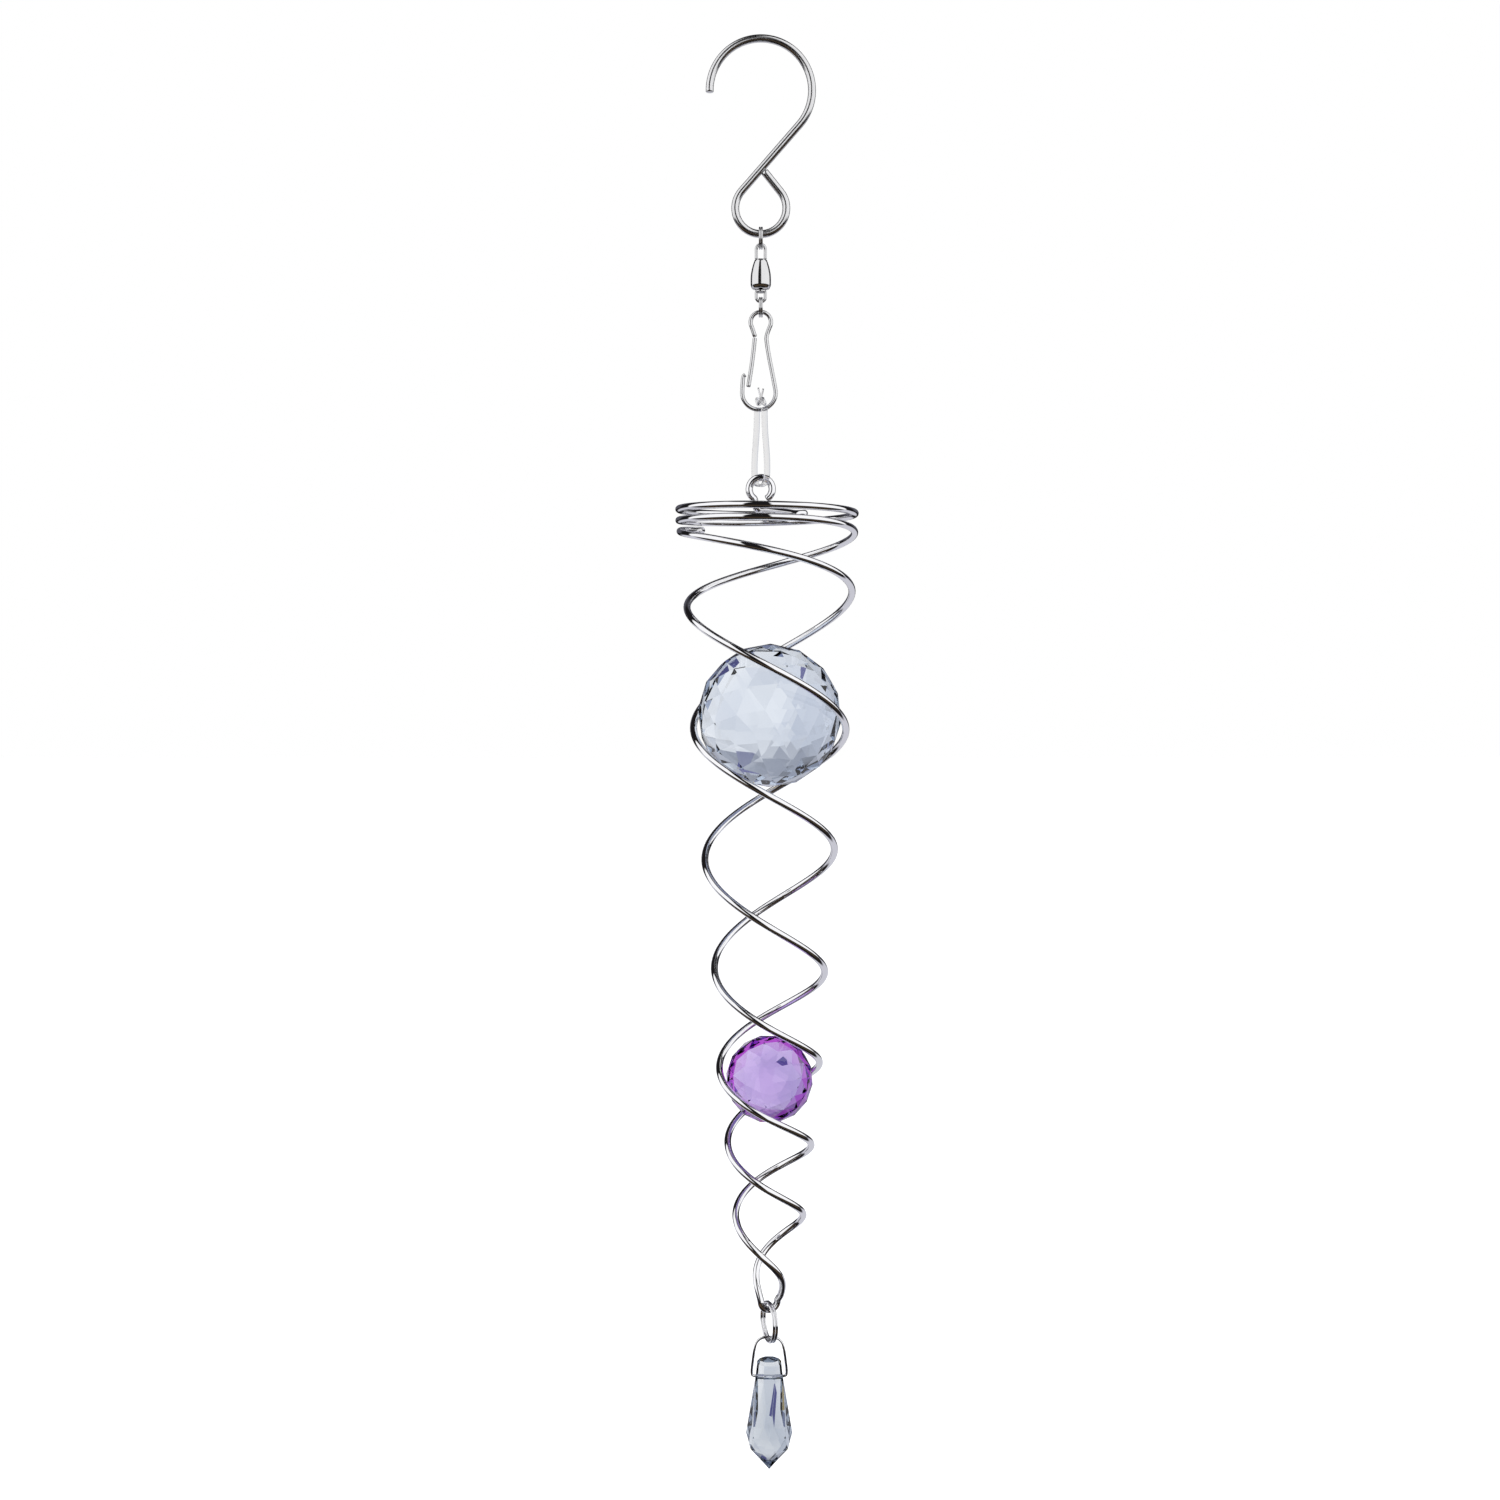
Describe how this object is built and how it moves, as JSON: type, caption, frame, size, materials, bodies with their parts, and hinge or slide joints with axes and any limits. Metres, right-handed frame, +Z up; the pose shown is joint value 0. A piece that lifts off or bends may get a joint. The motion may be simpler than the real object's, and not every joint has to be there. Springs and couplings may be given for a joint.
{
  "type": "wind spinner",
  "caption": "Hanging wind spinner: a tapering double spiral of chromed wire around two faceted crystal balls, with a crystal drop, on a swivel hook.",
  "frame": {"origin": "inside crown of the S-hook's crook, where the hook rests on what holds it", "axes": "+Z up, against gravity; +X to the right with the S-hook's crook open to the left; the front is -Y"},
  "size_m": [0.0616, 0.0616, 0.4858],
  "materials": {
    "chrome_wire": "mirror polished",
    "chrome_fittings": "mirror polished",
    "stainless_wire": "drawn, satin",
    "swivel_steel": "turned and polished",
    "bearing_steel": "polished",
    "clear_crystal": "cut and polished",
    "violet_crystal": "cut and polished",
    "drop_crystal": "cut and polished",
    "clear_plastic": "clear, smooth"
  },
  "bodies": {
    "hook": {"s_hook": "stainless_wire"},
    "upper_ring": {"upper_split_ring": "stainless_wire"},
    "swivel": {"swivel_upper_eye": "stainless_wire", "swivel_barrel": "swivel_steel", "swivel_end_cap": "swivel_steel"},
    "bearing": {"bearing_ball_1": "bearing_steel", "bearing_ball_2": "bearing_steel", "bearing_ball_3": "bearing_steel", "bearing_ball_4": "bearing_steel", "bearing_ball_5": "bearing_steel", "bearing_ball_6": "bearing_steel"},
    "lower_eye": {"swivel_lower_eye": "stainless_wire"},
    "lower_ring": {"lower_split_ring": "stainless_wire"},
    "clip": {"snap_clip": "stainless_wire"},
    "gate": {"snap_clip_gate": "stainless_wire"},
    "strap": {"hanging_strap": "clear_plastic", "strap_knot": "clear_plastic"},
    "spiral": {"spiral_eye": "chrome_wire", "spiral_a_1": "chrome_wire", "spiral_a_2": "chrome_wire", "spiral_a_3": "chrome_wire", "spiral_a_4": "chrome_wire", "spiral_a_5": "chrome_wire", "spiral_b_1": "chrome_wire", "spiral_b_2": "chrome_wire", "spiral_b_3": "chrome_wire", "spiral_b_4": "chrome_wire", "spiral_tip": "chrome_wire"},
    "large_ball": {"large_crystal_ball": "clear_crystal"},
    "small_ball": {"small_crystal_ball": "violet_crystal"},
    "tip_ring": {"tip_ring": "chrome_fittings"},
    "bail": {"drop_bail": "chrome_fittings"},
    "drop": {"crystal_drop": "drop_crystal"}
  },
  "joints": [
    {"name": "upper_ring_swing", "type": "hinge", "parent": "hook", "child": "upper_ring", "pos_m": [0, 0, -0.0628], "axis": [1, 0, 0], "range_deg": [-25, 25]},
    {"name": "swivel_swing", "type": "hinge", "parent": "upper_ring", "child": "swivel", "pos_m": [0, 0, -0.06626], "axis": [0, 1, 0], "range_deg": [-8, 8]},
    {"name": "swivel_spin", "type": "hinge", "parent": "swivel", "child": "lower_eye", "pos_m": [0, 0, -0.08096], "axis": [0, 0, 1], "continuous": true},
    {"name": "bearing_roll", "type": "hinge", "parent": "swivel", "child": "bearing", "pos_m": [0, 0, -0.07896], "axis": [0, 0, 1], "continuous": true},
    {"name": "lower_ring_swing", "type": "hinge", "parent": "lower_eye", "child": "lower_ring", "pos_m": [0, 0, -0.08516], "axis": [1, 0, 0], "range_deg": [-20, 20]},
    {"name": "clip_swing", "type": "hinge", "parent": "lower_ring", "child": "clip", "pos_m": [0, 0, -0.08852], "axis": [0, 1, 0], "range_deg": [-15, 15]},
    {"name": "clip_gate", "type": "hinge", "parent": "clip", "child": "gate", "pos_m": [-0.00203, 0, -0.09732], "axis": [0, -1, 0], "range_deg": [0, 10], "stiffness_Nm_per_rad": 0.05},
    {"name": "strap_swing", "type": "hinge", "parent": "clip", "child": "strap", "pos_m": [0, 0, -0.12092], "axis": [1, 0, 0], "range_deg": [-20, 20]},
    {"name": "spiral_swing", "type": "hinge", "parent": "strap", "child": "spiral", "pos_m": [0, 0, -0.14352], "axis": [1, 0, 0], "range_deg": [-15, 15]},
    {"name": "large_ball_turn", "type": "hinge", "parent": "spiral", "child": "large_ball", "pos_m": [0.003, 0, -0.22342], "axis": [0, 0, 1], "continuous": true},
    {"name": "small_ball_turn", "type": "hinge", "parent": "spiral", "child": "small_ball", "pos_m": [0.003, 0, -0.34732], "axis": [0, 0, 1], "continuous": true},
    {"name": "tip_ring_swing", "type": "hinge", "parent": "spiral", "child": "tip_ring", "pos_m": [0.003, 0, -0.42732], "axis": [0.9511, 0.309, 0], "range_deg": [-30, 30]},
    {"name": "bail_swing", "type": "hinge", "parent": "tip_ring", "child": "bail", "pos_m": [0.003, 0, -0.43687], "axis": [0.309, -0.9511, 0], "range_deg": [-15, 15]},
    {"name": "drop_swing", "type": "hinge", "parent": "bail", "child": "drop", "pos_m": [0.003, 0, -0.45047], "axis": [1, 0, 0], "range_deg": [-35, 35]}
  ],
  "couplings": [
    {"joint": "bearing_roll", "follows": "swivel_spin", "ratio": 0.5}
  ]
}
